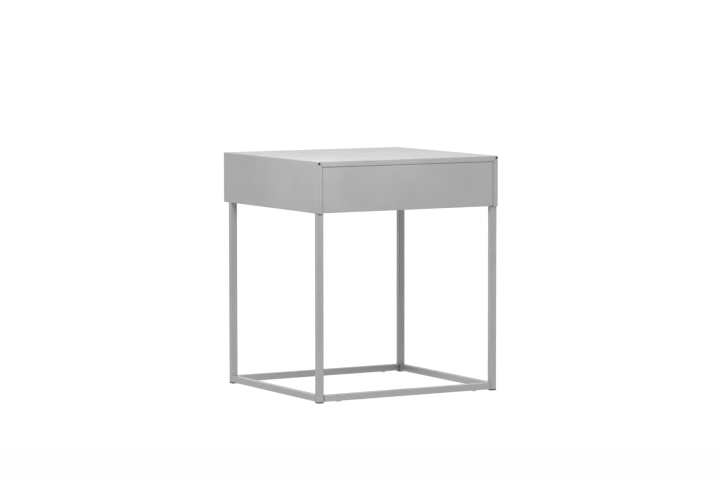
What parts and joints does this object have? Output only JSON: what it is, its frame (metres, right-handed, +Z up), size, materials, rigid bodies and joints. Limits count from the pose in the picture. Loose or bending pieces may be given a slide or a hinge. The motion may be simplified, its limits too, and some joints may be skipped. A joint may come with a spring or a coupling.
{
  "type": "side table",
  "caption": "Low square side table of folded sheet metal on a slender square-tube base, with one inset drawer that pulls out on ball slides.",
  "frame": {"origin": "on the floor under the feet, midway between the sides and midway between the front and the rear of the case", "axes": "+Z up, -Y the front that the drawer opens towards, +X to the right of someone facing the front"},
  "size_m": [0.472, 0.45, 0.54],
  "materials": {
    "powder_coat": "light warm grey powder coat, fine texture, satin",
    "zinc_steel": "bright zinc plated, satin",
    "ball_steel": "polished",
    "black_primer": "thin black primer, matt",
    "black_plastic": "moulded, matt",
    "black_rubber": "matt"
  },
  "bodies": {
    "table": {"back_panel": "powder_coat", "case_shell": "powder_coat", "foot_glide_front_left": "black_plastic", "foot_glide_front_right": "black_plastic", "foot_glide_rear_left": "black_plastic", "foot_glide_rear_right": "black_plastic", "front_rail": "powder_coat", "leg_bolt_washers": "zinc_steel", "leg_bolts": "zinc_steel", "leg_front_left": "powder_coat", "leg_front_right": "powder_coat", "leg_mounting_plates": "zinc_steel", "leg_rear_left": "powder_coat", "leg_rear_right": "powder_coat", "leg_top_inserts": "zinc_steel", "rail_lock_screws": "zinc_steel", "rail_spigots": "black_primer", "rear_rail": "powder_coat", "side_rail_left": "powder_coat", "side_rail_right": "powder_coat", "slide_bracket_left": "zinc_steel", "slide_bracket_right": "zinc_steel", "slide_case_screws": "zinc_steel", "slide_left_cabinet_member": "zinc_steel", "slide_left_rear_buffer": "black_rubber", "slide_right_cabinet_member": "zinc_steel", "slide_right_rear_buffer": "black_rubber"},
    "drawer": {"drawer_front": "powder_coat", "drawer_front_screws": "zinc_steel", "drawer_tray_floor": "powder_coat", "drawer_tray_front_wall": "powder_coat", "drawer_tray_rear_wall": "powder_coat", "drawer_tray_side_left": "powder_coat", "drawer_tray_side_right": "powder_coat", "slide_drawer_screws": "zinc_steel", "slide_left_drawer_member": "zinc_steel", "slide_right_drawer_member": "zinc_steel"},
    "slide_left_inner_retainer": {"slide_left_inner_balls": "ball_steel", "slide_left_inner_cage": "zinc_steel"},
    "slide_left_middle": {"slide_left_middle_member": "zinc_steel"},
    "slide_left_outer_retainer": {"slide_left_outer_balls": "ball_steel", "slide_left_outer_cage": "zinc_steel"},
    "slide_right_inner_retainer": {"slide_right_inner_balls": "ball_steel", "slide_right_inner_cage": "zinc_steel"},
    "slide_right_middle": {"slide_right_middle_member": "zinc_steel"},
    "slide_right_outer_retainer": {"slide_right_outer_balls": "ball_steel", "slide_right_outer_cage": "zinc_steel"}
  },
  "joints": [
    {"name": "drawer_slide", "type": "slide", "parent": "table", "child": "drawer", "axis": [0, -1, 0], "range_m": [0, 0.35]},
    {"name": "slide_left_middle_travel", "type": "slide", "parent": "table", "child": "slide_left_middle", "axis": [0, -1, 0], "range_m": [0, 0.175]},
    {"name": "slide_left_outer_retainer_travel", "type": "slide", "parent": "table", "child": "slide_left_outer_retainer", "axis": [0, -1, 0], "range_m": [0, 0.0875]},
    {"name": "slide_left_inner_retainer_travel", "type": "slide", "parent": "table", "child": "slide_left_inner_retainer", "axis": [0, -1, 0], "range_m": [0, 0.2625]},
    {"name": "slide_right_middle_travel", "type": "slide", "parent": "table", "child": "slide_right_middle", "axis": [0, -1, 0], "range_m": [0, 0.175]},
    {"name": "slide_right_outer_retainer_travel", "type": "slide", "parent": "table", "child": "slide_right_outer_retainer", "axis": [0, -1, 0], "range_m": [0, 0.0875]},
    {"name": "slide_right_inner_retainer_travel", "type": "slide", "parent": "table", "child": "slide_right_inner_retainer", "axis": [0, -1, 0], "range_m": [0, 0.2625]}
  ],
  "couplings": [
    {"joint": "slide_left_middle_travel", "follows": "drawer_slide", "ratio": 0.5},
    {"joint": "slide_left_outer_retainer_travel", "follows": "drawer_slide", "ratio": 0.25},
    {"joint": "slide_left_inner_retainer_travel", "follows": "drawer_slide", "ratio": 0.75},
    {"joint": "slide_right_middle_travel", "follows": "drawer_slide", "ratio": 0.5},
    {"joint": "slide_right_outer_retainer_travel", "follows": "drawer_slide", "ratio": 0.25},
    {"joint": "slide_right_inner_retainer_travel", "follows": "drawer_slide", "ratio": 0.75}
  ]
}
